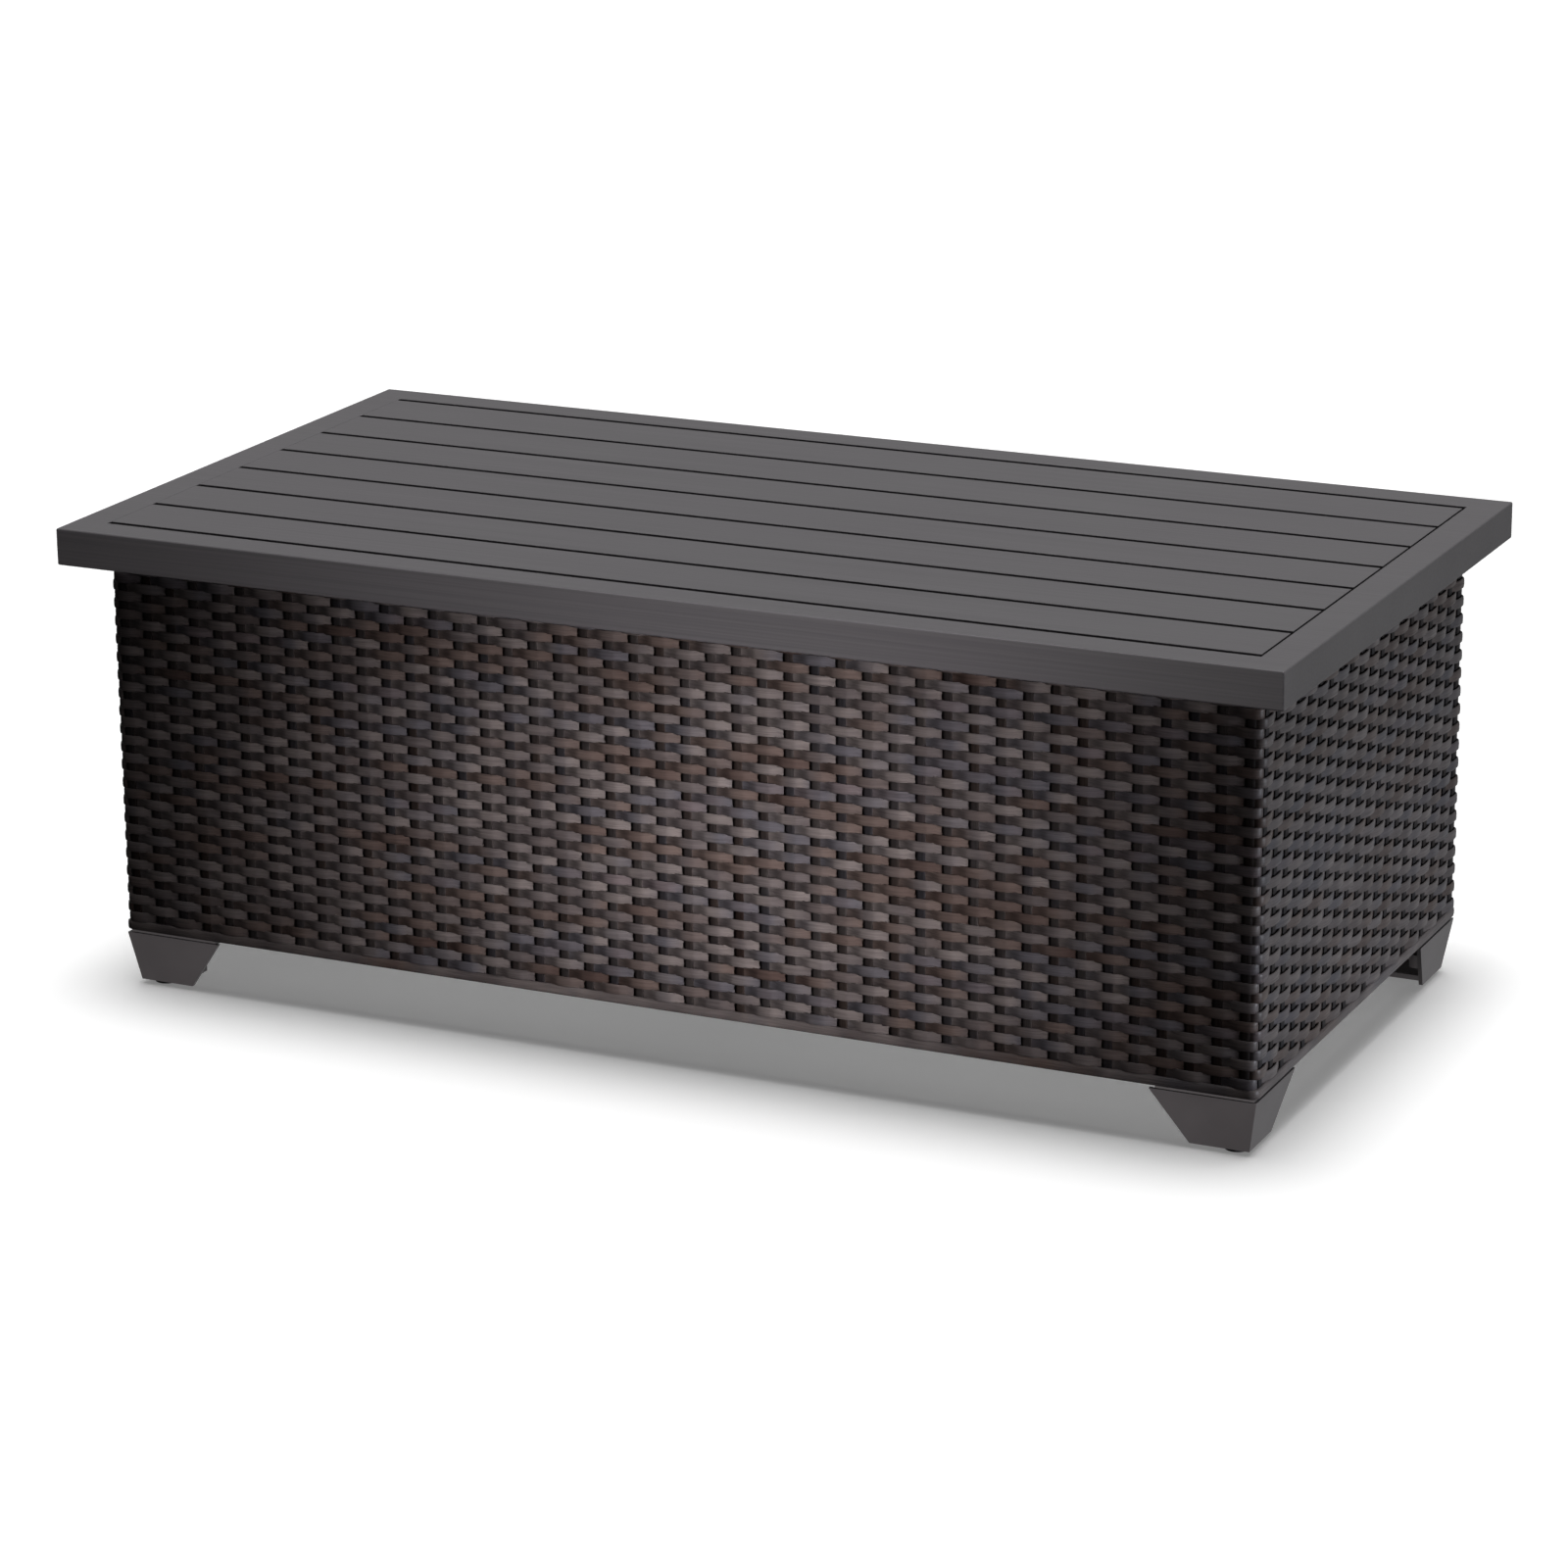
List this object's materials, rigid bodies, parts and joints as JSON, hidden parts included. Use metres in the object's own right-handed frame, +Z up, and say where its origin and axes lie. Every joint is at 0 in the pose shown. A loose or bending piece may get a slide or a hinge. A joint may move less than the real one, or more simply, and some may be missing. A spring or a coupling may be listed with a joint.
{
  "type": "outdoor coffee table",
  "caption": "Low box-shaped outdoor coffee table with a slatted powder-coated metal top, a dark woven resin skirt and levelling corner feet.",
  "frame": {"origin": "on the floor, under the centre of the table", "axes": "+X along the table's length, -Y towards its front, +Z up"},
  "size_m": [1.2192, 0.638, 0.462],
  "materials": {
    "top_powder_coat": "satin grey-brown powder coat with a fine lengthwise streak",
    "frame_powder_coat": "plain dark powder coat, hidden",
    "foot_powder_coat": "satin dark grey-brown powder coat",
    "resin_wicker": "flat woven resin strands in mixed dark browns and greys, low sheen",
    "zinc_steel": "zinc plated",
    "black_nylon": "moulded black nylon"
  },
  "bodies": {
    "table": {"base_bottom_rail_back": "frame_powder_coat", "base_bottom_rail_front": "frame_powder_coat", "base_bottom_rail_left": "frame_powder_coat", "base_bottom_rail_right": "frame_powder_coat", "base_top_rail_back": "frame_powder_coat", "base_top_rail_front": "frame_powder_coat", "base_top_rail_left": "frame_powder_coat", "base_top_rail_right": "frame_powder_coat", "cross_bar_left": "frame_powder_coat", "cross_bar_middle": "frame_powder_coat", "cross_bar_right": "frame_powder_coat", "foot_back_left": "foot_powder_coat", "foot_back_right": "foot_powder_coat", "foot_front_left": "foot_powder_coat", "foot_front_right": "foot_powder_coat", "foot_screw_back_left_end": "zinc_steel", "foot_screw_back_left_long": "zinc_steel", "foot_screw_back_right_end": "zinc_steel", "foot_screw_back_right_long": "zinc_steel", "foot_screw_front_left_end": "zinc_steel", "foot_screw_front_left_long": "zinc_steel", "foot_screw_front_right_end": "zinc_steel", "foot_screw_front_right_long": "zinc_steel", "post_back_left": "frame_powder_coat", "post_back_right": "frame_powder_coat", "post_front_left": "frame_powder_coat", "post_front_right": "frame_powder_coat", "slat_1": "top_powder_coat", "slat_2": "top_powder_coat", "slat_3": "top_powder_coat", "slat_4": "top_powder_coat", "slat_5": "top_powder_coat", "slat_6": "top_powder_coat", "slat_7": "top_powder_coat", "stile_back_left": "frame_powder_coat", "stile_back_right": "frame_powder_coat", "stile_front_left": "frame_powder_coat", "stile_front_right": "frame_powder_coat", "top_bolt_back_left": "zinc_steel", "top_bolt_back_right": "zinc_steel", "top_bolt_front_left": "zinc_steel", "top_bolt_front_right": "zinc_steel", "top_rail_back": "top_powder_coat", "top_rail_front": "top_powder_coat", "top_rail_left": "top_powder_coat", "top_rail_right": "top_powder_coat", "weave_back": "resin_wicker", "weave_front": "resin_wicker", "weave_left": "resin_wicker", "weave_right": "resin_wicker"},
    "glide_front_left": {"glide_pad_front_left": "black_nylon", "glide_stud_front_left": "zinc_steel"},
    "glide_front_right": {"glide_pad_front_right": "black_nylon", "glide_stud_front_right": "zinc_steel"},
    "glide_back_left": {"glide_pad_back_left": "black_nylon", "glide_stud_back_left": "zinc_steel"},
    "glide_back_right": {"glide_pad_back_right": "black_nylon", "glide_stud_back_right": "zinc_steel"}
  },
  "joints": [
    {"name": "glide_front_left_level", "type": "slide", "parent": "table", "child": "glide_front_left", "axis": [0, 0, -1], "range_m": [0, 0.01]},
    {"name": "glide_front_right_level", "type": "slide", "parent": "table", "child": "glide_front_right", "axis": [0, 0, -1], "range_m": [0, 0.01]},
    {"name": "glide_back_left_level", "type": "slide", "parent": "table", "child": "glide_back_left", "axis": [0, 0, -1], "range_m": [0, 0.01]},
    {"name": "glide_back_right_level", "type": "slide", "parent": "table", "child": "glide_back_right", "axis": [0, 0, -1], "range_m": [0, 0.01]}
  ]
}
